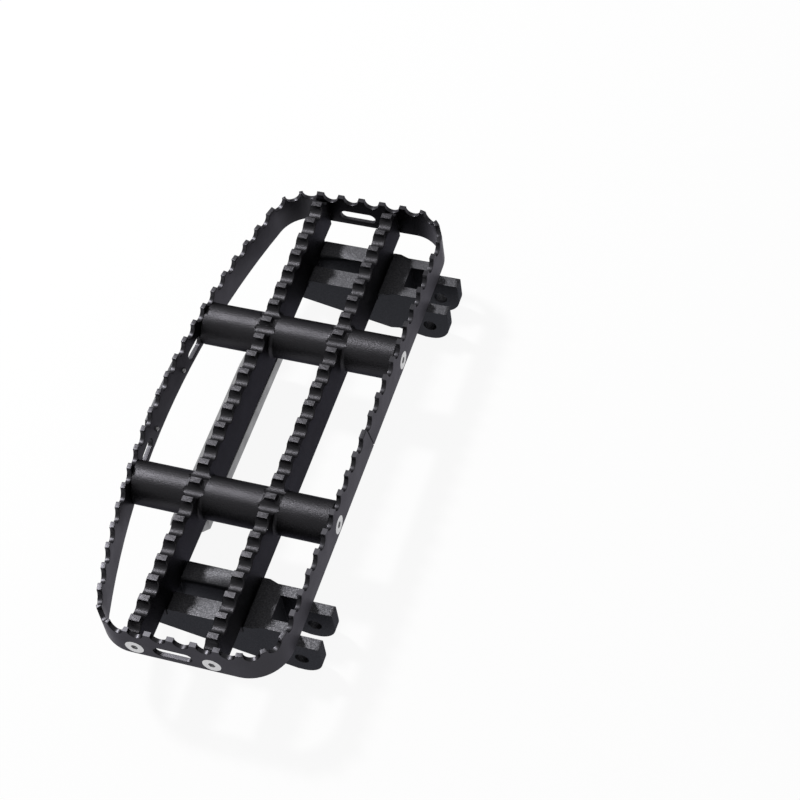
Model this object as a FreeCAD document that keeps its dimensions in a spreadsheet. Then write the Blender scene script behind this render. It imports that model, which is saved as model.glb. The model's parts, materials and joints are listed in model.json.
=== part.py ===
import FreeCAD, Part
import math
import os
import Sketcher

# Motorcycle floorboard for the left side of the machine.
# X runs across the machine, minus is outboard and plus is towards the pivots.
# Y runs along the machine, plus is the front. Z is up, and the ground is at Z = 0.
# Inside the sheet heights count from the axis of the two cross tubes.

SIZES = [
    ("deck_length", 340.0, "outside length of the band"),
    ("inboard_x", 64.2, "outer face of the straight inboard wall"),
    ("bow_reach", 71.2, "how far the bowed outboard wall reaches at mid length"),
    ("bow_radius", 600.0, "outer radius of the bowed wall"),
    ("corner_radius", 25.0, "outer radius of the four bends of the band"),
    ("wall", 3.0, "thickness of the band strip"),
    ("band_low", -7.0, "lower edge of the band"),
    ("tip_z", 17.0, "top of every tooth"),
    ("gullet_depth", 5.2, "depth of the gullets between teeth"),
    ("gullet_radius", 4.8, "radius of the gullets"),
    ("pitch", 14.0, "tooth pitch"),
    ("seam_pitch", 14.0, "tooth pitch on the wall behind the seam"),
    ("rail_pitch", 13.9, "tooth pitch on the rails"),
    ("seam_y", -4.6, "place of the seam at the top of the band"),
    ("seam_slant", 6.0, "how far the seam leans forward on its way down"),
    ("seam_gap", 0.5, "width of the seam"),
    ("slot_length", 24.0, "length of the slots in the end walls"),
    ("slot_height", 8.0, "height of the slots in the end walls"),
    ("slot_z", 1.0, "height of the slots in the end walls"),
    ("side_slot_length", 18.0, "length of the slots in the bowed wall"),
    ("side_slot_height", 7.6, "height of the slots in the bowed wall"),
    ("side_slot_y", 40.5, "place of the slots in the bowed wall"),
    ("badge_pin_y", 23.0, "place of the badge pins"),
    ("badge_pin_z", 0.5, "height of the badge pins"),
    ("badge_pin_radius", 1.3, "radius of the badge pins"),
    ("badge_hole_clear", 0.55, "room round each badge pin"),
    ("badge_pin_tail", 1.2, "how far the pin tails stand inside the wall"),
    ("badge_length", 62.0, "length of the badge plate"),
    ("badge_flat", 50.0, "length of the badge plate's long edges"),
    ("badge_height", 17.0, "height of the badge plate"),
    ("badge_z", 2.2, "middle height of the badge plate"),
    ("badge_thick", 2.0, "thickness of the badge plate"),
    ("badge_recess", 0.6, "depth of the badge plate's field"),
    ("badge_rim", 1.8, "width of the badge plate's rim"),
    ("badge_gap", 0.05, "bonding gap behind the badge plate"),
    ("rail_x", 23.8, "distance of each rail from the middle"),
    ("rail_width", 8.6, "width of the rails"),
    ("rail_land", 6.4, "width of the rails at the tooth tips"),
    ("rail_low", -16.0, "foot of the rails"),
    ("rail_foot_bevel", 1.7, "bevel along the foot of the rails between the brackets"),
    ("rail_end_low", -10.0, "foot of the rails outside the brackets"),
    ("rail_end_start", 1.0, "where the raised foot starts past a bracket"),
    ("rail_teeth_start", -166.9, "first gullet of each rail"),
    ("rail_gullets", 25, "number of gullets in each rail"),
    ("tube_y", 62.5, "distance of each cross tube from the middle"),
    ("tube_radius", 13.6, "radius of the cross tubes"),
    ("root_fillet", 2.2, "fillet where a tube meets a rail"),
    ("draft_rise", 0.2, "where the taper of the teeth starts above the tubes"),
    ("head_radius", 5.7, "radius of the countersunk heads"),
    ("head_land", 0.25, "straight edge of the countersunk heads"),
    ("shank_radius", 3.0, "radius of the six millimetre screws"),
    ("shank_length", 18.0, "length of the six millimetre screws"),
    ("hex_socket", 4.0, "width across flats of the screw sockets"),
    ("hex_depth", 2.4, "depth of the screw sockets"),
    ("screw_clear", 0.05, "room round every screw"),
    ("hole_mouth", 0.8, "chamfer at the mouth of the tapped holes"),
    ("tube_fit", 0.03, "room between the tube ends and the bowed wall"),
    ("hole_extra", 2.0, "how much deeper each blind hole is than its screw"),
    ("bracket_front_y", 134.6, "middle of the front bracket"),
    ("bracket_rear_y", -119.4, "middle of the rear bracket"),
    ("bracket_top", -10.0, "top of the bracket bars"),
    ("bracket_outer_x", 28.6, "outboard end of the brackets"),
    ("bar_front", 11.4, "width of the front bar of a bracket"),
    ("bar_gap", 10.4, "gap between the two bars of a bracket"),
    ("bar_rear", 12.6, "width of the rear bar of a bracket"),
    ("bar_gap_under", 1.0, "how far the gap between the bars runs under each rail"),
    ("toe_low", -28.3, "underside of the bracket at its outboard end"),
    ("shelf_end", 56.5, "where the plate falls to the ears"),
    ("ear_start", 59.5, "inboard end of that fall"),
    ("ear_top", -22.0, "top of the pivot ears"),
    ("ear_tip", 73.25, "inboard end of the pivot ears"),
    ("ear_thick", 7.5, "thickness of each ear"),
    ("ear_slot", 16.0, "gap between the two ears"),
    ("ear_corner", 13.0, "radius of the lower inboard corner of the ears"),
    ("waist_start", 34.0, "where the plate starts to narrow to the ears"),
    ("waist_run", 5.0, "length over which the plate narrows"),
    ("window_x", 43.2, "outboard end of the gap between the ears"),
    ("pivot_x", 60.6, "place of the pivot bore"),
    ("pivot_z", -36.2, "height of the pivot bore"),
    ("pivot_radius", 4.3, "radius of the pivot bore"),
    ("notch_clear", 0.1, "room beside a rail in its bracket notch"),
    ("edge_round", 1.2, "rounding of the notch edges"),
    ("core_start", 30.6, "outboard end of the hollow under the plate"),
    ("core_end", 38.8, "inboard end of the hollow under the plate"),
    ("core_side", 7.0, "wall beside the hollow under the plate"),
    ("core_roof", 5.4, "thickness of the plate over the hollow"),
    ("ground_drop", 49.0, "height of the tube axis above the ground"),
    ("under_seat", 3.2, "metal under the rail at each bracket screw"),
    ("under_shank", 2.5, "radius of the five millimetre screws"),
    ("under_head", 4.75, "radius of the button heads"),
    ("under_head_rise", 2.7, "height of the button heads"),
    ("under_bite", 8.8, "depth of the bracket screws in a rail"),
    ("under_socket", 3.0, "width across flats of the button head sockets"),
    ("under_bore", 5.2, "radius of the counterbores for button heads"),
    ("skid_length", 138.0, "length of the skid pad"),
    ("skid_inner_x", -19.4, "inboard face of the skid pad"),
    ("skid_top_x", -38.5, "outboard edge of the skid pad's top"),
    ("skid_outer_x", -51.0, "outermost line of the skid pad"),
    ("skid_outer_z", -37.5, "height of that outermost line"),
    ("skid_foot_out", -49.0, "outboard edge of the foot of the skid pad"),
    ("skid_foot_in", -43.5, "inboard edge of the foot of the skid pad"),
    ("skid_inner_low", -25.0, "lower edge of the pad's inboard face"),
    ("skid_toe_rise", 17.0, "how far the ends of the pad sweep up"),
    ("skid_toe_run", 24.0, "length of each sweep"),
    ("skid_round", 2.0, "rounding of the long lower edges of the pad"),
    ("skid_boss_in", -31.2, "inboard side of the pad's saddles"),
    ("skid_boss_half", 6.4, "half width of each saddle"),
    ("skid_boss_top", -11.4, "top of each saddle"),
    ("skid_screw_x", -34.8, "line of the pad screws"),
    ("skid_seat", 6.5, "metal over each pad screw head"),
    ("skid_bite", 10.0, "depth of the pad screws in a tube"),
]


class Size:
    # A length with its number and the sheet formula that gives it.
    def __init__(self, value, text):
        self.value = value
        self.text = text

    def __add__(self, other):
        other = as_size(other)
        return Size(self.value + other.value, "(" + self.text + " + " + other.text + ")")

    def __radd__(self, other):
        return as_size(other) + self

    def __sub__(self, other):
        other = as_size(other)
        return Size(self.value - other.value, "(" + self.text + " - " + other.text + ")")

    def __rsub__(self, other):
        return as_size(other) - self

    def __mul__(self, other):
        other = as_size(other)
        return Size(self.value * other.value, "(" + self.text + " * " + other.text + ")")

    def __rmul__(self, other):
        return as_size(other) * self

    def __truediv__(self, other):
        other = as_size(other)
        return Size(self.value / other.value, "(" + self.text + " / " + other.text + ")")

    def __neg__(self):
        return Size(-self.value, "(0 - " + self.text + ")")


def as_size(number):
    if isinstance(number, Size):
        return number
    return Size(float(number), repr(number))


def root(size):
    return Size(math.sqrt(size.value), "sqrt(" + size.text + ")")


def cosine(size):
    size = as_size(size)
    return Size(math.cos(math.radians(size.value)), "cos(" + size.text + ")")


def sine(size):
    size = as_size(size)
    return Size(math.sin(math.radians(size.value)), "sin(" + size.text + ")")


doc = FreeCAD.newDocument("Floorboard")
sheet = doc.addObject("Spreadsheet::Sheet", "Sizes")
for row, (alias, number, note) in enumerate(SIZES, 1):
    sheet.set("A" + str(row), note)
    sheet.set("B" + str(row), str(number))
    sheet.setAlias("B" + str(row), alias)
doc.recompute()
size = {alias: Size(float(sheet.get(alias)), "Sizes." + alias) for alias, number, note in SIZES}

# Lengths that follow from the sheet
half_length = size["deck_length"] / 2
bow_centre = size["bow_radius"] - size["bow_reach"]
corner_y = half_length - size["corner_radius"]
corner_in_x = size["inboard_x"] - size["corner_radius"]
bow_to_corner = size["bow_radius"] - size["corner_radius"]
corner_out_x = bow_centre - root(bow_to_corner * bow_to_corner - corner_y * corner_y)
gullet_z = size["tip_z"] - size["gullet_depth"] + size["gullet_radius"]
bow_at_tube = bow_centre - root(
    size["bow_radius"] * size["bow_radius"] - size["tube_y"] * size["tube_y"])
tube_end_x = size["inboard_x"] - size["wall"]
rail_half = size["rail_width"] / 2
land_half = size["rail_land"] / 2
draft_z = size["tube_radius"] + size["draft_rise"]
bracket_half = (size["bar_front"] + size["bar_gap"] + size["bar_rear"]) / 2
gap_front = bracket_half - size["bar_front"]
gap_rear = size["bar_rear"] - bracket_half
bar_front_y = (bracket_half + gap_front) / 2
bar_rear_y = (gap_rear - bracket_half) / 2
ground = -size["ground_drop"]
seat_z = size["rail_low"] - size["under_seat"]
skid_seat_z = size["rail_low"] - size["skid_seat"]
nothing = as_size(0)


def bind(thing, prop, length):
    length = as_size(length)
    thing.setExpression(prop, length.text)


def new_body(label, x=nothing, y=nothing, z=None, rotation=None):
    body = doc.addObject("PartDesign::Body", label)
    body.Label = label
    x = as_size(x)
    y = as_size(y)
    z = size["ground_drop"] if z is None else size["ground_drop"] + z
    turn = rotation if rotation else FreeCAD.Rotation()
    body.Placement = FreeCAD.Placement(FreeCAD.Vector(x.value, y.value, z.value), turn)
    bind(body, "Placement.Base.x", x)
    bind(body, "Placement.Base.y", y)
    bind(body, "Placement.Base.z", z)
    return body


def new_sketch(body, name, role, x=nothing, y=nothing, z=nothing, turn=None, axis=(0, 1, 0)):
    # The offset and the turn are in the plane's own axes.
    plane = next(f for f in body.Origin.OriginFeatures if f.Role == role)
    sketch = body.newObject("Sketcher::SketchObject", name)
    sketch.AttachmentSupport = [(plane, "")]
    sketch.MapMode = "FlatFace"
    x, y, z = as_size(x), as_size(y), as_size(z)
    angle = as_size(turn if turn is not None else 0)
    sketch.AttachmentOffset = FreeCAD.Placement(
        FreeCAD.Vector(x.value, y.value, z.value),
        FreeCAD.Rotation(FreeCAD.Vector(*axis), angle.value))
    for prop, length in (("x", x), ("y", y), ("z", z)):
        if "Sizes" in length.text:
            bind(sketch, "AttachmentOffset.Base." + prop, length)
    return sketch


def hold(sketch, kind, places, length):
    length = as_size(length)
    index = sketch.addConstraint(Sketcher.Constraint(kind, *places, length.value))
    if "Sizes" in length.text:
        sketch.setExpression("Constraints[" + str(index) + "]", length.text)


def pin(sketch, shape, point, x, y):
    x, y = as_size(x), as_size(y)
    if x.text == "0":
        sketch.addConstraint(Sketcher.Constraint("PointOnObject", shape, point, -2))
    else:
        hold(sketch, "DistanceX", (-1, 1, shape, point), x)
    if y.text == "0":
        sketch.addConstraint(Sketcher.Constraint("PointOnObject", shape, point, -1))
    else:
        hold(sketch, "DistanceY", (-1, 1, shape, point), y)


def polygon(sketch, points):
    points = [(as_size(x), as_size(y)) for x, y in points]
    first = sketch.GeometryCount
    count = len(points)
    for i in range(count):
        start, end = points[i], points[(i + 1) % count]
        sketch.addGeometry(Part.LineSegment(
            FreeCAD.Vector(start[0].value, start[1].value, 0),
            FreeCAD.Vector(end[0].value, end[1].value, 0)), False)
    for i in range(count):
        sketch.addConstraint(Sketcher.Constraint(
            "Coincident", first + i, 2, first + (i + 1) % count, 1))
    for i in range(count):
        pin(sketch, first + i, 1, points[i][0], points[i][1])


def rectangle(sketch, left, right, low, high):
    polygon(sketch, [(left, low), (right, low), (right, high), (left, high)])


def circle(sketch, x, y, radius):
    x, y, radius = as_size(x), as_size(y), as_size(radius)
    shape = sketch.GeometryCount
    sketch.addGeometry(Part.Circle(
        FreeCAD.Vector(x.value, y.value, 0), FreeCAD.Vector(0, 0, 1), radius.value), False)
    pin(sketch, shape, 3, x, y)
    hold(sketch, "Radius", (shape,), radius)


def arc(sketch, x, y, radius, start, end):
    up = FreeCAD.Vector(0, 0, 1)
    ring = Part.Circle(FreeCAD.Vector(x, y, 0), up, radius)
    sketch.addGeometry(Part.ArcOfCircle(ring, math.radians(start), math.radians(end)), False)


def obround(sketch, x, y, length, height):
    x, y, length, height = as_size(x), as_size(y), as_size(length), as_size(height)
    first = sketch.GeometryCount
    radius = height / 2
    reach = length / 2 - radius
    left, right = x - reach, x + reach
    arc(sketch, right.value, y.value, radius.value, -90, 90)
    sketch.addGeometry(Part.LineSegment(
        FreeCAD.Vector(right.value, y.value + radius.value, 0),
        FreeCAD.Vector(left.value, y.value + radius.value, 0)), False)
    arc(sketch, left.value, y.value, radius.value, 90, 270)
    sketch.addGeometry(Part.LineSegment(
        FreeCAD.Vector(left.value, y.value - radius.value, 0),
        FreeCAD.Vector(right.value, y.value - radius.value, 0)), False)
    for i in range(4):
        sketch.addConstraint(Sketcher.Constraint(
            "Tangent", first + i, 2, first + (i + 1) % 4, 1))
    pin(sketch, first, 3, right, y)
    pin(sketch, first + 2, 3, left, y)
    hold(sketch, "Radius", (first,), radius)
    hold(sketch, "Radius", (first + 2,), radius)


def hexagon(sketch, flats):
    corner = flats / 2 / cosine(30)
    polygon(sketch, [(corner * cosine(60 * i), corner * sine(60 * i)) for i in range(6)])


def d_outline(sketch, inset):
    # The plan of the band: straight inboard and end walls, a bowed outboard wall, four bends.
    bend = size["corner_radius"] - inset
    bow = size["bow_radius"] - inset
    lean = math.degrees(math.asin(corner_y.value / bow_to_corner.value))
    in_x, out_x, mid_y = corner_in_x.value, corner_out_x.value, corner_y.value
    side, end = in_x + bend.value, mid_y + bend.value
    spot = FreeCAD.Vector
    sketch.addGeometry(Part.LineSegment(spot(side, -mid_y, 0), spot(side, mid_y, 0)), False)
    arc(sketch, in_x, mid_y, bend.value, 0, 90)
    sketch.addGeometry(Part.LineSegment(spot(in_x, end, 0), spot(out_x, end, 0)), False)
    arc(sketch, out_x, mid_y, bend.value, 90, 180 - lean)
    arc(sketch, bow_centre.value, 0, bow.value, 180 - lean, 180 + lean)
    arc(sketch, out_x, -mid_y, bend.value, 180 + lean, 270)
    sketch.addGeometry(Part.LineSegment(spot(out_x, -end, 0), spot(in_x, -end, 0)), False)
    arc(sketch, in_x, -mid_y, bend.value, 270, 360)
    for i in range(8):
        sketch.addConstraint(Sketcher.Constraint("Tangent", i, 2, (i + 1) % 8, 1))
    sketch.addConstraint(Sketcher.Constraint("Vertical", 0))
    sketch.addConstraint(Sketcher.Constraint("Horizontal", 2))
    sketch.addConstraint(Sketcher.Constraint("Horizontal", 6))
    hold(sketch, "DistanceX", (-1, 1, 0, 1), size["inboard_x"] - inset)
    hold(sketch, "DistanceY", (-1, 1, 2, 1), half_length - inset)
    hold(sketch, "DistanceY", (-1, 1, 6, 1), inset - half_length)
    pin(sketch, 4, 3, bow_centre, 0)
    hold(sketch, "Radius", (4,), bow)
    for i in (1, 3, 5, 7):
        hold(sketch, "Radius", (i,), bend)


def pad(body, name, sketch, length, symmetric=False, back=None, reverse=False):
    feature = body.newObject("PartDesign::Pad", name)
    feature.Profile = sketch
    if symmetric:
        feature.SideType = "Symmetric"
    if back is not None:
        feature.SideType = "Two sides"
        bind(feature, "Length2", back)
    feature.Reversed = reverse
    bind(feature, "Length", length)
    sketch.Visibility = False
    return feature


def pocket(body, name, sketch, length=None, symmetric=False, reverse=False):
    feature = body.newObject("PartDesign::Pocket", name)
    feature.Profile = sketch
    if symmetric:
        feature.SideType = "Symmetric"
    if length is None:
        feature.Type = "ThroughAll"
    else:
        bind(feature, "Length", length)
    feature.Reversed = reverse
    sketch.Visibility = False
    return feature


def row(body, name, feature, sketch, axis, length, count):
    pattern = body.newObject("PartDesign::LinearPattern", name)
    pattern.Originals = [feature]
    pattern.Direction = (sketch, [axis])
    pattern.Mode = "Extent"
    bind(pattern, "Length", length)
    count = as_size(count)
    pattern.Occurrences = int(count.value)
    if "Sizes" in count.text:
        bind(pattern, "Occurrences", count)
    body.Tip = pattern
    return pattern


def ring(body, name, feature, sketch, step, count):
    pattern = body.newObject("PartDesign::PolarPattern", name)
    pattern.Originals = [feature]
    pattern.Axis = (sketch, ["V_Axis"])
    pattern.Mode = "Spacing"
    bind(pattern, "Offset", step)
    pattern.Occurrences = count
    body.Tip = pattern
    return pattern


def turned(body, name, sketch, axis, cut=True):
    kind = "PartDesign::Groove" if cut else "PartDesign::Revolution"
    feature = body.newObject(kind, name)
    feature.Profile = sketch
    feature.ReferenceAxis = (sketch, [axis])
    feature.Angle = 360
    sketch.Visibility = False
    return feature


def rounded(body, name, radius, chosen):
    doc.recompute()
    base = body.Tip
    edges = ["Edge" + str(i + 1) for i, e in enumerate(base.Shape.Edges) if chosen(e)]
    feature = body.newObject("PartDesign::Fillet", name)
    feature.Base = (base, edges)
    bind(feature, "Radius", radius)
    return feature


def near(a, b):
    return abs(a - b) < 1e-3


def lies_at(edge, x=None, y=None, z=None):
    # True when every end of a straight edge has the given coordinates.
    if not isinstance(edge.Curve, Part.Line):
        return False
    for vertex in edge.Vertexes:
        for want, got in ((x, vertex.Point.x), (y, vertex.Point.y), (z, vertex.Point.z)):
            if want is not None and not near(want, got):
                return False
    return True


# Perimeter band, a strip with a tooth row along its upper edge, bent round and butted
band = new_body("perimeter_band")
outline = new_sketch(band, "band_outline", "XY_Plane", z=size["band_low"])
d_outline(outline, nothing)
pad(band, "band_block", outline, size["tip_z"] - size["band_low"])
hollow = new_sketch(band, "band_hollow", "XY_Plane")
d_outline(hollow, size["wall"])
pocket(band, "band_inside", hollow, symmetric=True)


def gullet_cut(name, x, y, heading, first, z=gullet_z):
    # A round cut through the wall that faces the heading, first along the wall.
    sketch = new_sketch(band, name + "_sketch", "XZ_Plane", x=x, z=-as_size(y),
                        turn=(heading - 90) % 360)
    circle(sketch, first, z, size["gullet_radius"])
    return pocket(band, name, sketch), sketch


straight_rows = [
    ("gullets_inboard_front", 0, -140.5, size["pitch"], 11),
    ("gullets_inboard_rear", 0, 16.2, size["seam_pitch"], 10),
    ("gullets_front", 90, -17.2, size["pitch"], 5),
    ("gullets_rear", 270, -35.7, size["pitch"], 5),
]
for name, heading, first, step, count in straight_rows:
    cut, sketch = gullet_cut(name, nothing, nothing, heading, first)
    row(band, name + "_row", cut, sketch, "H_Axis", step * (count - 1), count)

bend_rows = [
    ("gullets_bend_front_in", corner_in_x, corner_y, 23.9, 34.9, 2),
    ("gullets_bend_front_out", corner_out_x, corner_y, 99.7, 28.0, 3),
    ("gullets_bend_rear_out", corner_out_x, -corner_y, 199.5, 29.0, 3),
    ("gullets_bend_rear_in", corner_in_x, -corner_y, 295.6, 33.3, 2),
]
for name, x, y, heading, step, count in bend_rows:
    cut, sketch = gullet_cut(name, x, y, heading, 0)
    ring(band, name + "_row", cut, sketch, step, count)

bow_axis = new_sketch(band, "bow_axis", "XZ_Plane", x=bow_centre)
bow_axis.Visibility = False
bow_count = 21
bow_step = size["pitch"] / (size["bow_radius"] - size["wall"] / 2) * (180 / math.pi)
bow_first = 166.6
bow_near = size["bow_radius"] - 30
cut, sketch = gullet_cut(
    "gullets_bow", bow_centre + bow_near * cosine(bow_first), bow_near * sine(bow_first),
    bow_first, 0)
ring(band, "gullets_bow_row", cut, bow_axis, bow_step, bow_count)

end_slots = new_sketch(band, "end_slots_sketch", "XZ_Plane")
obround(end_slots, 0, size["slot_z"], size["slot_length"], size["slot_height"])
pocket(band, "end_slots", end_slots, symmetric=True)
side_cuts = new_sketch(band, "bow_openings_sketch", "YZ_Plane")
for side in (-1, 1):
    obround(side_cuts, side * size["side_slot_y"], size["slot_z"],
            size["side_slot_length"], size["side_slot_height"])
    circle(side_cuts, side * size["badge_pin_y"], size["badge_pin_z"],
           size["badge_pin_radius"] + size["badge_hole_clear"])
pocket(band, "bow_openings", side_cuts)


def countersink(name, x, y, heading, spread):
    # One countersunk hole seen along the wall's outward normal, then its twin.
    sketch = new_sketch(band, name + "_sketch", "XY_Plane", x=x, y=y, turn=heading, axis=(0, 0, 1))
    wide = size["head_radius"] + size["screw_clear"]
    slim = size["shank_radius"] + size["screw_clear"]
    cone = size["head_land"] + size["head_radius"] - size["shank_radius"]
    polygon(sketch, [(2, 0), (2, wide), (-size["head_land"], wide), (-cone, slim),
                     (-(size["wall"] + 2), slim), (-(size["wall"] + 2), 0)])
    hole = turned(band, name, sketch, "H_Axis")
    row(band, name + "_pair", hole, sketch, "V_Axis", spread, 2)


countersink("front_countersinks", size["rail_x"], half_length, 90, size["rail_x"] * 2)
countersink("rear_countersinks", -size["rail_x"], -half_length, 270, size["rail_x"] * 2)
countersink("inboard_countersinks", size["inboard_x"], -size["tube_y"], 0, size["tube_y"] * 2)
countersink("bow_countersinks", bow_at_tube, size["tube_y"], 180, size["tube_y"] * 2)

seam = new_sketch(band, "seam_sketch", "YZ_Plane")
seam_foot = size["seam_y"] + size["seam_slant"]
polygon(seam, [
    (size["seam_y"], size["tip_z"]), (size["seam_y"] + size["seam_gap"], size["tip_z"]),
    (seam_foot + size["seam_gap"], size["band_low"]), (seam_foot, size["band_low"])])
pocket(band, "seam", seam, reverse=True)

# Deck casting, two toothed rails on two cross tubes, one piece of cast metal
deck = new_body("deck_casting")
rails = new_sketch(deck, "rails_sketch", "XZ_Plane")
for side in (-1, 1):
    middle = side * size["rail_x"]
    rectangle(rails, middle - rail_half, middle + rail_half, size["rail_low"], size["tip_z"])
pad(deck, "rails", rails, size["deck_length"] - 2 * size["wall"], symmetric=True)
feet = new_sketch(deck, "rail_ends_sketch", "YZ_Plane")
raised = size["bracket_front_y"] + bracket_half + size["rail_end_start"]
rectangle(feet, raised, half_length, size["rail_low"] - 1, size["rail_end_low"])
raised = size["bracket_rear_y"] - bracket_half - size["rail_end_start"]
rectangle(feet, -half_length, raised, size["rail_low"] - 1, size["rail_end_low"])
pocket(deck, "rail_ends", feet, symmetric=True)
tubes = new_sketch(deck, "tubes_sketch", "YZ_Plane")
for side in (-1, 1):
    circle(tubes, side * size["tube_y"], 0, size["tube_radius"])
pad(deck, "tubes", tubes, tube_end_x, back=size["bow_reach"])

# The outboard tube ends follow the inner face of the bowed wall
trim = new_sketch(deck, "tube_trim_sketch", "XY_Plane")
inner_bow = size["bow_radius"] - size["wall"] - size["tube_fit"]
trim_y = size["tube_y"] + size["tube_radius"] + 6
trim_x = bow_centre - root(inner_bow * inner_bow - trim_y * trim_y)
trim_far = -(size["bow_reach"] + 10)
trim_turn = math.degrees(math.asin(trim_y.value / inner_bow.value))
arc(trim, bow_centre.value, 0, inner_bow.value, 180 - trim_turn, 180 + trim_turn)
corners = [(trim_x, -trim_y), (trim_far, -trim_y), (trim_far, trim_y), (trim_x, trim_y)]
for start, end in zip(corners[:-1], corners[1:]):
    trim.addGeometry(Part.LineSegment(
        FreeCAD.Vector(start[0].value, start[1].value, 0),
        FreeCAD.Vector(end[0].value, end[1].value, 0)), False)
for i in range(4):
    trim.addConstraint(Sketcher.Constraint("Coincident", i, 2, (i + 1) % 4, 1))
pin(trim, 0, 3, bow_centre, 0)
hold(trim, "Radius", (0,), inner_bow)
hold(trim, "DistanceY", (-1, 1, 0, 1), trim_y)
hold(trim, "DistanceY", (-1, 1, 0, 2), -trim_y)
pin(trim, 2, 1, trim_far, -trim_y)
pin(trim, 2, 2, trim_far, trim_y)
pocket(deck, "tube_trim", trim, symmetric=True)

rail_faces = [
    side * size["rail_x"].value + flank * rail_half.value for side in (-1, 1) for flank in (-1, 1)]


def tube_root(edge):
    if not isinstance(edge.Curve, Part.Circle):
        return False
    if not near(edge.Curve.Radius, size["tube_radius"].value):
        return False
    return any(near(edge.Curve.Center.x, face) for face in rail_faces)


rounded(deck, "tube_roots", size["root_fillet"], tube_root)

# Between the brackets the lower edges of the rails are bevelled
bracket_middle = (size["bracket_front_y"] + size["bracket_rear_y"]) / 2
bracket_span = size["bracket_front_y"] - size["bracket_rear_y"]
bevels = new_sketch(deck, "foot_bevels_sketch", "XZ_Plane", z=-bracket_middle)
bevel = size["rail_foot_bevel"]
out = size["root_fillet"] + 0.5
for side in (-1, 1):
    for flank in (-1, 1):
        face = side * size["rail_x"] + flank * rail_half
        polygon(bevels, [
            (face - flank * bevel, size["rail_low"]), (face, size["rail_low"] + bevel),
            (face + flank * out, size["rail_low"] + bevel),
            (face + flank * out, size["rail_low"] - 1),
            (face - flank * bevel, size["rail_low"] - 1)])
pocket(deck, "foot_bevels", bevels, bracket_span - 2 * bracket_half, symmetric=True)

# The teeth taper from just above the tubes to their lands
taper = new_sketch(deck, "taper_sketch", "XZ_Plane")
reach = size["root_fillet"] + 0.5
over = size["tip_z"] + 1
for side in (-1, 1):
    for flank in (-1, 1):
        middle = side * size["rail_x"]
        polygon(taper, [
            (middle + flank * rail_half, draft_z),
            (middle + flank * (rail_half + reach), draft_z),
            (middle + flank * (rail_half + reach), over),
            (middle + flank * land_half, over),
            (middle + flank * land_half, size["tip_z"])])
pocket(deck, "taper", taper, symmetric=True)

for label, side in (("outboard", -1), ("inboard", 1)):
    sketch = new_sketch(deck, "gullets_" + label + "_sketch", "YZ_Plane", z=side * size["rail_x"])
    circle(sketch, size["rail_teeth_start"], gullet_z, size["gullet_radius"])
    cut = pocket(deck, "gullets_" + label, sketch,
                 size["rail_width"] + 2 * size["root_fillet"], symmetric=True)
    row(deck, "gullets_" + label + "_row", cut, sketch, "H_Axis",
        size["rail_pitch"] * (size["rail_gullets"] - 1), size["rail_gullets"])


def blind_hole(name, x, y, heading, spread):
    sketch = new_sketch(deck, name + "_sketch", "XY_Plane", x=x, y=y, turn=heading, axis=(0, 0, 1))
    depth = size["shank_length"] - size["wall"] + size["hole_extra"]
    slim = size["shank_radius"] + size["screw_clear"]
    wide = slim + size["hole_mouth"]
    polygon(sketch, [(2, 0), (2, wide), (0, wide), (-size["hole_mouth"], slim),
                     (-depth, slim), (-depth, 0)])
    hole = turned(deck, name, sketch, "H_Axis")
    row(deck, name + "_pair", hole, sketch, "V_Axis", spread, 2)


blind_hole("front_tappings", size["rail_x"], half_length - size["wall"], 90, size["rail_x"] * 2)
blind_hole("rear_tappings", -size["rail_x"], size["wall"] - half_length, 270, size["rail_x"] * 2)
blind_hole("inboard_tappings", tube_end_x, -size["tube_y"], 0, size["tube_y"] * 2)
blind_hole("bow_tappings", bow_at_tube + size["wall"], size["tube_y"], 180, size["tube_y"] * 2)

bracket_spots = [
    (side * size["rail_x"], size[place] + bar)
    for place in ("bracket_front_y", "bracket_rear_y")
    for bar in (bar_front_y, bar_rear_y)
    for side in (-1, 1)]
under_room = size["under_shank"] + size["screw_clear"]
foot_holes = new_sketch(deck, "foot_tappings_sketch", "XY_Plane", z=size["rail_low"])
for x, y in bracket_spots:
    circle(foot_holes, x, y, under_room)
pocket(deck, "foot_tappings", foot_holes, size["under_bite"] + size["hole_extra"], reverse=True)
tube_holes = new_sketch(deck, "skid_tappings_sketch", "XY_Plane", z=-size["tube_radius"] - 1)
for side in (-1, 1):
    circle(tube_holes, size["skid_screw_x"], side * size["tube_y"], under_room)
pocket(deck, "skid_tappings", tube_holes, size["skid_bite"] + size["hole_extra"], reverse=True)


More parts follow.
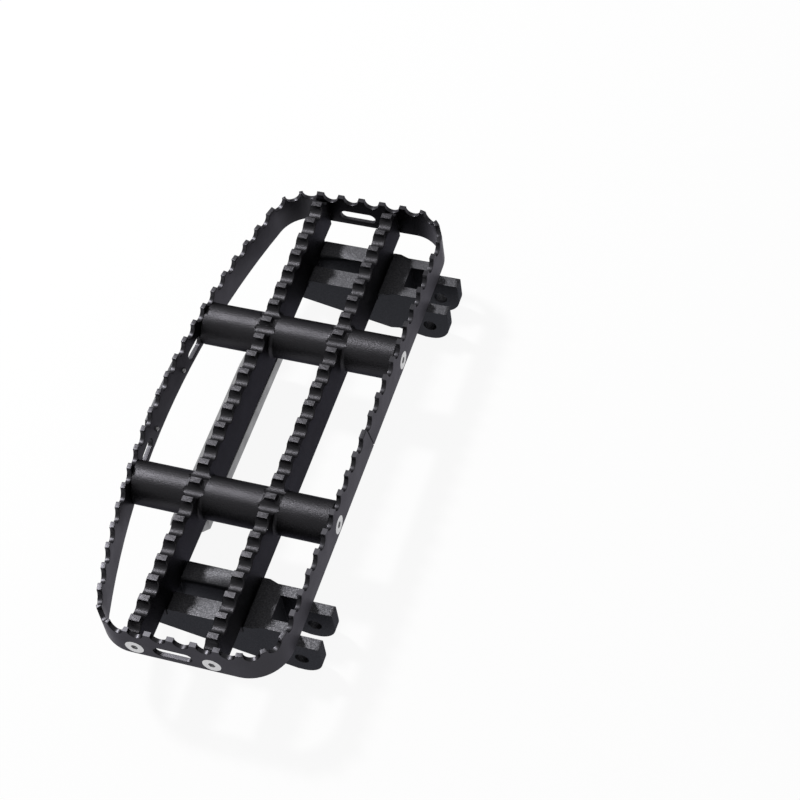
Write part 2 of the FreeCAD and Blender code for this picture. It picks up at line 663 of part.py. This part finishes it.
# Bracket castings, two bars under the rails that deepen into a pair of pivot ears
def make_bracket(label, middle):
    body = new_body(label, y=middle)
    side_view = new_sketch(body, label + "_side", "XZ_Plane")
    heel = size["pivot_x"] - 4
    polygon(side_view, [
        (-size["bracket_outer_x"], size["bracket_top"]),
        (size["shelf_end"], size["bracket_top"]),
        (size["ear_start"], size["ear_top"]),
        (size["ear_tip"], size["ear_top"]),
        (size["ear_tip"], ground),
        (heel, ground),
        (-size["bracket_outer_x"], size["toe_low"])])
    pad(body, label + "_blank", side_view, 2 * bracket_half, symmetric=True)

    plan = new_sketch(body, label + "_gaps_sketch", "XY_Plane")
    gap_half = size["rail_x"] - rail_half + size["bar_gap_under"]
    rectangle(plan, -gap_half, gap_half, gap_rear, gap_front)
    rectangle(plan, size["window_x"], size["ear_tip"] + 5,
              -size["ear_slot"] / 2, size["ear_slot"] / 2)
    pocket(body, label + "_gaps", plan, symmetric=True)

    waist = new_sketch(body, label + "_waist_sketch", "XY_Plane")
    flank = size["ear_slot"] / 2 + size["ear_thick"]
    narrow = size["waist_start"] + size["waist_run"]
    for near_side in (-1, 1):
        polygon(waist, [
            (size["waist_start"], near_side * bracket_half), (narrow, near_side * flank),
            (size["ear_tip"] + 5, near_side * flank),
            (size["ear_tip"] + 5, near_side * (bracket_half + 5)),
            (size["waist_start"], near_side * (bracket_half + 5))])
    pocket(body, label + "_waist", waist, symmetric=True)

    core = new_sketch(body, label + "_core_sketch", "XY_Plane", z=ground)
    core_half = bracket_half - size["core_side"]
    rectangle(core, size["core_start"], size["core_end"], -core_half, core_half)
    roof = size["ground_drop"] + size["bracket_top"] - size["core_roof"]
    pocket(body, label + "_core", core, roof, reverse=True)

    notches = new_sketch(body, label + "_notches_sketch", "XZ_Plane")
    for side in (-1, 1):
        rail = side * size["rail_x"]
        room = rail_half + size["notch_clear"]
        rectangle(notches, rail - room, rail + room, size["rail_low"], 0)
    pocket(body, label + "_notches", notches, symmetric=True)

    holes = new_sketch(body, label + "_holes_sketch", "XY_Plane")
    bores = new_sketch(body, label + "_bores_sketch", "XY_Plane", z=ground)
    for side in (-1, 1):
        for bar in (bar_front_y, bar_rear_y):
            circle(holes, side * size["rail_x"], bar, under_room)
            circle(bores, side * size["rail_x"], bar, size["under_bore"])
    pocket(body, label + "_holes", holes, symmetric=True)
    pocket(body, label + "_bores", bores, size["ground_drop"] + seat_z, reverse=True)

    pivot = new_sketch(body, label + "_pivot_sketch", "XZ_Plane")
    circle(pivot, size["pivot_x"], size["pivot_z"], size["pivot_radius"])
    pocket(body, label + "_pivot", pivot, symmetric=True)

    rounded(body, label + "_ear_corners", size["ear_corner"],
            lambda e: lies_at(e, x=size["ear_tip"].value, z=ground.value))
    lip_x = [side * size["rail_x"].value + flank * (rail_half + size["notch_clear"]).value
             for side in (-1, 1) for flank in (-1, 1)]
    lip_x.append(-size["bracket_outer_x"].value)
    rounded(body, label + "_lips", size["edge_round"], lambda e: any(
        lies_at(e, x=x, z=size["bracket_top"].value) for x in lip_x[1:4]))
    return body


front_bracket = make_bracket("front_bracket", size["bracket_front_y"])
rear_bracket = make_bracket("rear_bracket", size["bracket_rear_y"])

# Skid pad, a cast foot under the outboard rail and the two tubes
skid = new_body("skid_pad")
section = new_sketch(skid, "skid_section", "XZ_Plane")
polygon(section, [
    (size["skid_inner_x"], size["rail_low"]), (size["skid_top_x"], size["rail_low"]),
    (size["skid_outer_x"], size["skid_outer_z"]), (size["skid_foot_out"], ground),
    (size["skid_foot_in"], ground), (size["skid_inner_x"], size["skid_inner_low"])])
pad(skid, "skid_bar", section, size["skid_length"], symmetric=True)
toes = new_sketch(skid, "skid_toes_sketch", "YZ_Plane")
skid_half = size["skid_length"] / 2
for side in (-1, 1):
    polygon(toes, [
        (side * (skid_half - size["skid_toe_run"]), ground),
        (side * (skid_half - size["skid_toe_run"]), ground - 2),
        (side * (skid_half + 2), ground - 2),
        (side * (skid_half + 2), ground + size["skid_toe_rise"]),
        (side * skid_half, ground + size["skid_toe_rise"])])
pocket(skid, "skid_toes", toes, symmetric=True)
rounded(skid, "skid_edges", size["skid_round"], lambda e: lies_at(
    e, x=size["skid_outer_x"].value, z=size["skid_outer_z"].value) or lies_at(
    e, x=size["skid_inner_x"].value, z=size["skid_inner_low"].value))
for side, label in ((1, "front"), (-1, "rear")):
    boss = new_sketch(skid, "saddle_" + label + "_sketch", "XZ_Plane", z=-side * size["tube_y"])
    rectangle(boss, size["skid_top_x"], size["skid_boss_in"],
              size["rail_low"] - 1, size["skid_boss_top"])
    pad(skid, "saddle_" + label, boss, 2 * size["skid_boss_half"], symmetric=True)
saddles = new_sketch(skid, "saddle_rounds_sketch", "YZ_Plane")
for side in (-1, 1):
    circle(saddles, side * size["tube_y"], 0, size["tube_radius"] + size["screw_clear"])
pocket(skid, "saddle_rounds", saddles, symmetric=True)
pad_holes = new_sketch(skid, "skid_holes_sketch", "XY_Plane")
pad_bores = new_sketch(skid, "skid_bores_sketch", "XY_Plane", z=ground - 2)
for side in (-1, 1):
    circle(pad_holes, size["skid_screw_x"], side * size["tube_y"], under_room)
    circle(pad_bores, size["skid_screw_x"], side * size["tube_y"], size["under_bore"])
pocket(skid, "skid_holes", pad_holes, symmetric=True)
pocket(skid, "skid_bores", pad_bores, size["ground_drop"] + 2 + skid_seat_z, reverse=True)


# Badge plate, a bare plate that follows the bow, with a raised rim
def bow_drum(name, radius):
    drum = doc.addObject("Part::Cylinder", name)
    bind(drum, "Radius", radius)
    bind(drum, "Height", size["badge_height"] + 4)
    bind(drum, "Placement.Base.x", bow_centre)
    bind(drum, "Placement.Base.z", size["ground_drop"] + size["badge_z"] - size["badge_height"] / 2 - 2)
    return drum


def badge_prism(name, inset):
    # The long edges end in blunt points, as a stretched hexagon does.
    sketch = doc.addObject("Sketcher::SketchObject", name + "_sketch")
    sketch.Placement = FreeCAD.Placement(
        FreeCAD.Vector(0, 0, 0), FreeCAD.Rotation(FreeCAD.Vector(1, 1, 1), 120))
    tip = size["badge_length"] / 2 - inset
    flat = size["badge_flat"] / 2 - inset
    tall = size["badge_height"] / 2 - inset
    middle = size["ground_drop"] + size["badge_z"]
    polygon(sketch, [(tip, middle), (flat, middle + tall), (-flat, middle + tall),
                     (-tip, middle), (-flat, middle - tall), (flat, middle - tall)])
    prism = doc.addObject("Part::Extrusion", name)
    prism.Base = sketch
    prism.DirMode = "Custom"
    prism.Dir = FreeCAD.Vector(-1, 0, 0)
    prism.Solid = True
    bind(prism, "LengthFwd", size["bow_reach"] + 20)
    return prism


def boolean(kind, name, base, tool):
    result = doc.addObject(kind, name)
    result.Base = base
    result.Tool = tool
    return result


badge_face = size["bow_radius"] + size["badge_gap"]
badge_shell = boolean("Part::Cut", "badge_shell",
                      bow_drum("badge_front_drum", badge_face + size["badge_thick"]),
                      bow_drum("badge_back_drum", badge_face))
badge_blank = boolean("Part::Common", "badge_blank", badge_shell, badge_prism("badge_outline", nothing))
field_shell = boolean("Part::Cut", "badge_field_shell",
                      bow_drum("badge_field_front", badge_face + size["badge_thick"] + 2),
                      bow_drum("badge_field_back",
                               badge_face + size["badge_thick"] - size["badge_recess"]))
badge_field = boolean("Part::Common", "badge_field", field_shell,
                      badge_prism("badge_field_outline", size["badge_rim"]))
badge = boolean("Part::Cut", "badge_plate", badge_blank, badge_field)
badge.Label = "badge_plate"


# Turned parts, drawn with the outer end at their own origin and the axis along Z
def make_turned(label, profile, x, y, z, outward, socket=None, depth=None):
    turn = FreeCAD.Rotation(FreeCAD.Vector(0, 0, 1), FreeCAD.Vector(*outward))
    body = new_body(label, x, y, z, turn)
    sketch = new_sketch(body, label + "_profile", "XZ_Plane")
    polygon(sketch, profile)
    turned(body, label + "_round", sketch, "V_Axis", cut=False)
    if socket is not None:
        hexes = new_sketch(body, label + "_socket_sketch", "XY_Plane")
        hexagon(hexes, socket)
        pocket(body, label + "_socket", hexes, depth)
    return body


def make_wall_screw(label, x, y, outward):
    head, shank, land = size["head_radius"], size["shank_radius"], size["head_land"]
    long = size["shank_length"]
    profile = [(0, 0), (head, 0), (head, -land), (shank, -(land + head - shank)),
               (shank, -long), (0, -long)]
    return make_turned(label, profile, x, y, nothing, outward, size["hex_socket"], size["hex_depth"])


def make_under_screw(label, x, y, seat, length):
    head, rise, shank = size["under_head"], size["under_head_rise"], size["under_shank"]
    profile = [(0, 0), (head * 0.7, 0), (head, -rise * 0.5), (head, -rise),
               (shank, -rise), (shank, -(rise + length)), (0, -(rise + length))]
    return make_turned(label, profile, x, y, seat - rise, (0, 0, -1), size["under_socket"], rise * 0.6)


for end, sign in (("front", 1), ("rear", -1)):
    for name, side in (("outboard", -1), ("inboard", 1)):
        make_wall_screw("end_screw_" + end + "_" + name,
                        side * size["rail_x"], sign * half_length, (0, sign, 0))
    make_wall_screw("side_screw_" + end + "_inboard",
                    size["inboard_x"], sign * size["tube_y"], (1, 0, 0))
    make_wall_screw("side_screw_" + end + "_outboard",
                    bow_at_tube, sign * size["tube_y"], (-1, 0, 0))

places = [end + "_" + bar + "_" + side
          for end in ("front", "rear") for bar in ("bar_a", "bar_b")
          for side in ("outboard", "inboard")]
for place, (x, y) in zip(places, bracket_spots):
    make_under_screw("bracket_screw_" + place, x, y, seat_z,
                     size["under_seat"] + size["under_bite"])
for end, sign in (("front", 1), ("rear", -1)):
    reach_up = -size["tube_radius"] - skid_seat_z + size["skid_bite"]
    make_under_screw("skid_screw_" + end, size["skid_screw_x"], sign * size["tube_y"],
                     skid_seat_z, reach_up)

pin_drop = size["bow_radius"] + size["badge_gap"]
pin_back = bow_centre - root(
    pin_drop * pin_drop - size["badge_pin_y"] * size["badge_pin_y"])
pin_long = size["wall"] + size["badge_gap"] + size["badge_pin_tail"]
for end, sign in (("front", 1), ("rear", -1)):
    radius = size["badge_pin_radius"]
    profile = [(0, 0), (radius * 0.5, 0), (radius, -radius * 0.4), (radius, -pin_long), (0, -pin_long)]
    make_turned("badge_pin_" + end, profile, pin_back + pin_long + 0.06, sign * size["badge_pin_y"],
                size["badge_pin_z"], (1, 0, 0))

doc.recompute()

# Every object is checked before the files are written
pieces = [thing for thing in doc.Objects if thing.TypeId == "PartDesign::Body"]
pieces.append(badge)
for thing in doc.Objects:
    if "Invalid" in thing.State or "Error" in thing.State:
        raise RuntimeError(thing.Name + " did not build: " + str(thing.State))
for thing in pieces:
    shape = thing.Shape
    if shape.isNull() or not shape.isValid() or len(shape.Solids) != 1:
        raise RuntimeError(thing.Label + " is not one valid solid")

os.makedirs("parts", exist_ok=True)
for thing in pieces:
    thing.Shape.exportStep("parts/" + thing.Label + ".step")
    box = thing.Shape.BoundBox
    print(thing.Label, round(thing.Shape.Volume, 1),
          [round(v, 2) for v in (box.XMin, box.XMax, box.YMin, box.YMax, box.ZMin, box.ZMax)])
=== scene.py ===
# %% [markdown]
# # A motorcycle floorboard, dressed
# The floorboard is an open deck: a bent strip with teeth along its top, two toothed rails on
# two cross tubes, brackets that fold on the machine, and a bare pad that scrapes first in a
# corner. The CAD solids already hold those shapes, so the work here is their edges, their
# finishes, the light and the camera. Loading the frame first means that everything after it is
# in metres and in the CAD's own place.

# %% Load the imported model
import json
import math

import bmesh
import bpy
from mathutils import Matrix, Vector


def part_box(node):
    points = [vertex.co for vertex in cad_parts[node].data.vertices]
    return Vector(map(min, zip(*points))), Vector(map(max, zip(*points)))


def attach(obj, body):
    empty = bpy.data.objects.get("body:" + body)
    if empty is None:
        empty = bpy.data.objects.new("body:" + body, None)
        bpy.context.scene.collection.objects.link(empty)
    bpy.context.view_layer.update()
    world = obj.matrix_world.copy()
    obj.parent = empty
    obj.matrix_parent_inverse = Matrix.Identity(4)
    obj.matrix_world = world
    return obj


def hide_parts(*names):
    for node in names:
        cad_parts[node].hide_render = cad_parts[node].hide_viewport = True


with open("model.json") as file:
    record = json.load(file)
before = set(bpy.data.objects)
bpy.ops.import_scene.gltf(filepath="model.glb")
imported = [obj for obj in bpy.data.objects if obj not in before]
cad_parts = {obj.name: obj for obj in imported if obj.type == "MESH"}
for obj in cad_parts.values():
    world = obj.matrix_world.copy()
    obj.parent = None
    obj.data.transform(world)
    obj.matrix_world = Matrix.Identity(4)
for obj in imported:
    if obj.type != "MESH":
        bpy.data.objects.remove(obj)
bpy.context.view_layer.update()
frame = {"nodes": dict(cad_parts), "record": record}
nodes = frame["nodes"]
MM = 0.001

# %% [markdown]
# ## A short way to write materials
# A material is a small tree of nodes. Writing each node by hand takes many lines, so `Finish`
# adds one node per call, and `Field` lets a result be added, multiplied or squeezed like a
# plain number. Every pattern reads Object coordinates, which are metres on this object.


# %% One value that varies over a surface
class Field:
    """The output socket of one node, with the operators that the finishes use."""

    def __init__(self, finish, socket):
        self.finish, self.socket = finish, socket

    def math(self, operation, other, clamp=False):
        return self.finish.node("Math", {0: self, 1: other}, operation=operation, use_clamp=clamp)

    def __add__(self, other):
        return self.math("ADD", other)

    def __mul__(self, other):
        return self.math("MULTIPLY", other)

    __radd__, __rmul__ = __add__, __mul__

    def squeeze(self, start, end, to_start=0.0, to_end=1.0):
        """Maps start..end to to_start..to_end and holds the value beyond them."""
        values = {0: self, 1: start, 2: end, 3: to_start, 4: to_end}
        return self.finish.node("MapRange", values, clamp=True)


# %% One material
class Finish:
    """A material with one Principled shader. Keywords set its plain sockets."""

    def __init__(self, name, color, **sockets):
        self.material = bpy.data.materials.new(name)
        self.material.use_nodes = True
        self.tree = self.material.node_tree
        self.shader = self.tree.nodes["Principled BSDF"]
        self.shader.inputs["Base Color"].default_value = (*color, 1.0)
        for socket, value in sockets.items():
            self.shader.inputs[socket.replace("_", " ")].default_value = value
        self.place = self.node("TexCoord", output="Object")

    def node(self, kind, inputs=(), output=0, **settings):
        """Adds a node, sets it, then links or fills its inputs. Gives one of its outputs."""
        made = self.tree.nodes.new("ShaderNode" + kind)
        for name, value in settings.items():
            setattr(made, name, value)
        for key, value in dict(inputs).items():
            if isinstance(value, Field):
                self.tree.links.new(value.socket, made.inputs[key])
            else:
                made.inputs[key].default_value = value
        return Field(self, made.outputs[output])

    def up(self):
        """How far a face looks up: 1 on a top, 0 on a wall."""
        return self.node("SeparateXYZ", {0: self.node("NewGeometry", output="Normal")}, output="Z")

    def noise(self, size, detail=2.0, roughness=0.5):
        """Cloudy noise whose blobs are about size millimetres across."""
        values = {"Vector": self.place, "Scale": 1.0 / (size * MM), "Detail": detail,
                  "Roughness": roughness}
        return self.node("TexNoise", values)

    def blend(self, share, *colors):
        """The first colour where share is 0 and the second where it is 1."""
        first, second = (c if isinstance(c, Field) else (*c, 1.0) for c in colors)
        return self.node("Mix", {0: share, 6: first, 7: second}, output=2, data_type="RGBA")

    def drive(self, socket, value):
        """Feeds a varying value to one of the shader's sockets."""
        self.tree.links.new(value.socket, self.shader.inputs[socket])

    def cloudy_gloss(self, size, smooth, rough, detail=3.0):
        """Lets the roughness drift between two values in clouds of size millimetres."""
        self.drive("Roughness", self.noise(size, detail).squeeze(0.3, 0.7, smooth, rough))

    def grain(self, height, depth):
        """Turns a height into small bumps of depth millimetres."""
        bump = {"Height": height, "Strength": 1.0, "Distance": depth * MM}
        self.drive("Normal", self.node("Bump", bump))


# %% [markdown]
# ## The anodised strip
# The strip is aluminium with a black dyed skin. It could be made as a glossy black plastic, but
# plastic turns into a white mirror where it is seen at a grazing angle. A metal can be dimmed
# there too, with its Specular Tint, so the strip is a metal with a very dark colour.

# %% Strip
band = Finish("band_anodised", (0.044, 0.0432, 0.048), Metallic=1.0,
              Specular_Tint=(0.64, 0.63, 0.67, 1.0))
band.cloudy_gloss(14.0, 0.36, 0.44)
band.grain(band.noise(0.5), 0.01)

# %% [markdown]
# ## The anodised deck
# The deck has the same skin, but over a casting, so its tubes and teeth keep a fine sandy
# grain. A bump shows that well, because it is far finer than any edge of the mesh.

# %% Deck
deck = Finish("deck_anodised", (0.043, 0.042, 0.046), Metallic=1.0,
              Specular_Tint=(0.38, 0.38, 0.4, 1.0))
deck.cloudy_gloss(18.0, 0.4, 0.5)
deck.grain(deck.noise(0.85, detail=3.0, roughness=0.6), 0.17)

# %% [markdown]
# ## The flaked coating
# The brackets have a rough black coating with flakes in it. The flakes are paler and smoother
# than the rest, so they sparkle where the lamp reaches them and vanish in the shade. A face's own
# direction also paints light and shade: faces that look up get the paler flaked colour and walls
# a darker plain one, which is painted light on the tops and painted shade on the walls.

# %% Bracket coating
coat = Finish("bracket_coating", (0.05, 0.05, 0.052), Metallic=1.0,
              Specular_Tint=(0.5, 0.5, 0.52, 1.0))
flakes = coat.noise(0.8, detail=3.0).squeeze(0.4, 0.68)
flaked = coat.blend(flakes, (0.069, 0.069, 0.075), (0.113, 0.112, 0.121))
# Tops get the paler flaked colour and walls a darker plain one: painted light on the tops, painted
# shade on the walls.
painted_light_on_tops = coat.up().squeeze(0.5, 0.9)
coat.drive("Base Color", coat.blend(painted_light_on_tops, (0.042, 0.043, 0.049), flaked))
coat.drive("Roughness", flakes * -0.14 + 0.62)
coat.grain(coat.noise(0.7, detail=3.0), 0.16)

# %% [markdown]
# ## The bright finishes
# The pad is bare cast metal, dull and a little cloudy. The screws are plated steel, which is
# paler and smoother. The plate on the bowed wall is left blank, in a satin black.

# %% Pad, screws and plate
cast = Finish("pad_cast", (0.3, 0.3, 0.31), Metallic=1.0)
cast.cloudy_gloss(9.0, 0.42, 0.6, detail=4.0)
cast.grain(cast.noise(0.6, detail=3.0), 0.05)

plated = Finish("screw_plated", (0.6, 0.6, 0.61), Metallic=1.0)
plated.cloudy_gloss(1.5, 0.32, 0.44, detail=2.0)

badge = Finish("badge_satin", (0.05, 0.05, 0.053), Metallic=1.0)
badge.cloudy_gloss(5.0, 0.3, 0.4, detail=2.0)

finishes = {"band_black": band, "deck_black": deck, "bracket_black": coat, "bare_cast": cast,
            "plated_steel": plated, "badge_metal": badge}
slots = {part["node"]: part["material_slot"] for part in frame["record"]["subparts"]}
print("finishes", sorted(finishes))

# %% [markdown]
# ## Real edges
# A CAD solid arrives as loose triangles with knife edges, and a knife edge never catches the
# light. A copy has its points merged, gets a narrow rounded bevel on its sharp edges and stands
# for the node from then on. The Bevel modifier could find sharp edges by angle alone, but where
# two curved faces meet in very short edges it then folds over itself or throws out spikes. So
# the edges are marked by weight, and those next to a very short edge stay as the CAD has them.

# %% What counts as sharp, and as too short to round
SHARP = math.radians(32)
SHORTEST = 0.3 * MM
SAME_PLACE = 0.004 * MM


# %% Selecting, and applying a modifier
def only(piece):
    """Selects one object and makes it the active one."""
    bpy.ops.object.select_all(action="DESELECT")
    piece.select_set(True)
    bpy.context.view_layer.objects.active = piece


def applied(piece, kind, **settings):
    """Adds a modifier, sets it and applies it."""
    only(piece)
    modifier = piece.modifiers.new(kind.lower(), kind)
    for name, value in settings.items():
        setattr(modifier, name, value)
    bpy.ops.object.modifier_apply(modifier=modifier.name)


# %% Marking the edges
def mark_edges(piece):
    """Gives full bevel weight to the sharp edges that have room for a bevel."""
    grid = bmesh.new()
    grid.from_mesh(piece.data)
    weight = grid.edges.layers.float.new("bevel_weight_edge")
    cramped = {point for edge in grid.edges if edge.calc_length() < SHORTEST for point in edge.verts}
    for edge in grid.edges:
        sharp = edge.is_manifold and edge.calc_face_angle() > SHARP
        if sharp and not cramped.intersection(edge.verts):
            edge[weight] = 1.0
    grid.to_mesh(piece.data)
    grid.free()


# %% Keeping to the CAD's size
def keep_inside(piece, node):
    """Holds every point of a piece inside its node's own box."""
    low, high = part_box(node)
    for point in piece.data.vertices:
        point.co = [min(max(at, start), end) for at, start, end in zip(point.co, low, high)]


def settle(piece, node):
    """Puts a finished piece on the body in place of its node, with its own finish."""
    piece.data.materials.clear()
    piece.data.materials.append(finishes[slots[node]].material)
    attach(piece, "root")
    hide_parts(node)


# %% [markdown]
# ## Rounding a piece
# After the bevel, faces that meet at less than the sharp angle are shaded as one, and the
# largest face of each corner sets its normal, so that flat walls stay flat up to the rounding.


# %% Rounding one node
def softened(node, width, segments=2):
    """A copy of a node whose sharp edges are rounded over width millimetres."""
    piece = bpy.data.objects.new(node + "_softened", nodes[node].data.copy())
    bpy.context.scene.collection.objects.link(piece)
    only(piece)
    bpy.ops.object.mode_set(mode="EDIT")
    bpy.ops.mesh.select_all(action="SELECT")
    bpy.ops.mesh.remove_doubles(threshold=SAME_PLACE)
    bpy.ops.object.mode_set(mode="OBJECT")
    mark_edges(piece)
    applied(piece, "BEVEL", width=width * MM, segments=segments, limit_method="WEIGHT",
            use_clamp_overlap=False, loop_slide=False)
    keep_inside(piece, node)
    only(piece)
    bpy.ops.object.shade_smooth_by_angle(angle=SHARP)
    applied(piece, "WEIGHTED_NORMAL", mode="FACE_AREA", weight=50, keep_sharp=True)
    settle(piece, node)
    return piece


# %% Round the edges, in millimetres for each finish
# The deck's cast teeth are the roundest, and the screws are nearly sharp.
ROUNDING = {"band_black": 0.35, "deck_black": 0.7, "bracket_black": 0.4, "bare_cast": 0.5,
            "badge_metal": 0.2, "plated_steel": 0.1}
for name, slot in slots.items():
    piece = softened(name, ROUNDING[slot], segments=3 if slot == "deck_black" else 2)
    print(name, len(piece.data.vertices), "vertices")

# %% [markdown]
# ## The floor
# The photograph's ground is plain white. A lamp bright enough to whiten a floor would bleach
# the object, so the floor's own colour glows a little for the rays that the eye follows: those
# from the camera, and those that metal or glass sends on. All other rays meet plain pale paint,
# so the floor still takes the object's shadow. A low round wall of the same white closes the
# view where a camera near the ground would look past the floor's edge.

# %% Glowing white
GLOW = 0.92
white = Finish("floor_white", (0.7, 0.7, 0.7), Roughness=0.9)
seen, mirrored, through = (white.node("LightPath", output=ray) for ray in
                           ("Is Camera Ray", "Is Glossy Ray", "Is Transmission Ray"))
share = (seen + mirrored + through).math("MULTIPLY", GLOW, clamp=True)
light = white.node("Emission", {"Color": (1.0, 1.0, 1.0, 1.0), "Strength": 1.0})
paint = Field(white, white.shader.outputs["BSDF"])
surface = white.node("MixShader", {0: share, 1: paint, 2: light})
white.tree.links.new(surface.socket, white.tree.nodes["Material Output"].inputs["Surface"])

# %% Floor and backdrop
ROOM, WALL = 8.0, 1.8
bpy.ops.object.select_all(action="DESELECT")
bpy.ops.mesh.primitive_plane_add(size=2 * ROOM, location=(0.0, 0.0, 0.0))
floor = bpy.context.object
floor.name = "floor"
bpy.ops.mesh.primitive_cylinder_add(vertices=96, radius=ROOM, depth=WALL, end_fill_type="NOTHING",
                                    location=(0.0, 0.0, WALL / 2))
backdrop = bpy.context.object
backdrop.name = "backdrop"
for stage in (floor, backdrop):
    stage.data.materials.append(white.material)

# %% [markdown]
# ## The light
# One soft lamp stands high up on the bowed side, and an even white sky fills the rest. The
# lamp's direction was read from the shadows on the brackets and from the bright line along the
# tubes: on a round tube that line lies halfway between the lamp and the eye.

# %% Lamp and sky
LAMP_PLACE, LAMP_AIM = Vector((-0.94, 0.49, 1.46)), Vector((0.0, 0.0, 0.03))
SKY = 0.42
key = bpy.data.lights.new("key", "AREA")
key.size, key.energy = 0.2, 34.0
holder = bpy.data.objects.new("key", key)
bpy.context.scene.collection.objects.link(holder)
turn = (LAMP_AIM - LAMP_PLACE).to_track_quat("-Z", "Y").to_matrix().to_4x4()
holder.matrix_world = Matrix.Translation(LAMP_PLACE) @ turn

world = bpy.data.worlds.new("studio")
world.use_nodes = True
world.node_tree.nodes["Background"].inputs["Color"].default_value = (1.0, 1.0, 1.0, 1.0)
world.node_tree.nodes["Background"].inputs["Strength"].default_value = SKY
bpy.context.scene.world = world

# %% [markdown]
# ## The camera
# The photograph looks down on the deck from behind and from the inboard side. A camera could be
# placed by eye, but the tooth rows and tube lines of a known object tell its place and turn
# exactly, so the values below were solved from them.

# %% Camera
CAMERA_PLACE = (0.410368, -0.684876, 1.099794)
CAMERA_TURN = (
    (0.948291, -0.185756, 0.257369),
    (0.301187, 0.782482, -0.544985),
    (-0.100152, 0.594320, 0.797968),
)
lens = bpy.data.cameras.new("camera")
lens.sensor_width, lens.lens = 36.0, 97.171
camera = bpy.data.objects.new("camera", lens)
bpy.context.scene.collection.objects.link(camera)
camera.matrix_world = Matrix.Translation(CAMERA_PLACE) @ Matrix(CAMERA_TURN).to_4x4()
bpy.context.scene.camera = camera

# %% [markdown]
# ## Finish
# Dressing a part must not make it bigger, so each rounded piece is held inside its node's box.
# The Standard view keeps colours as they are written.

# %% Finish
bpy.context.scene.view_settings.view_transform = "Standard"
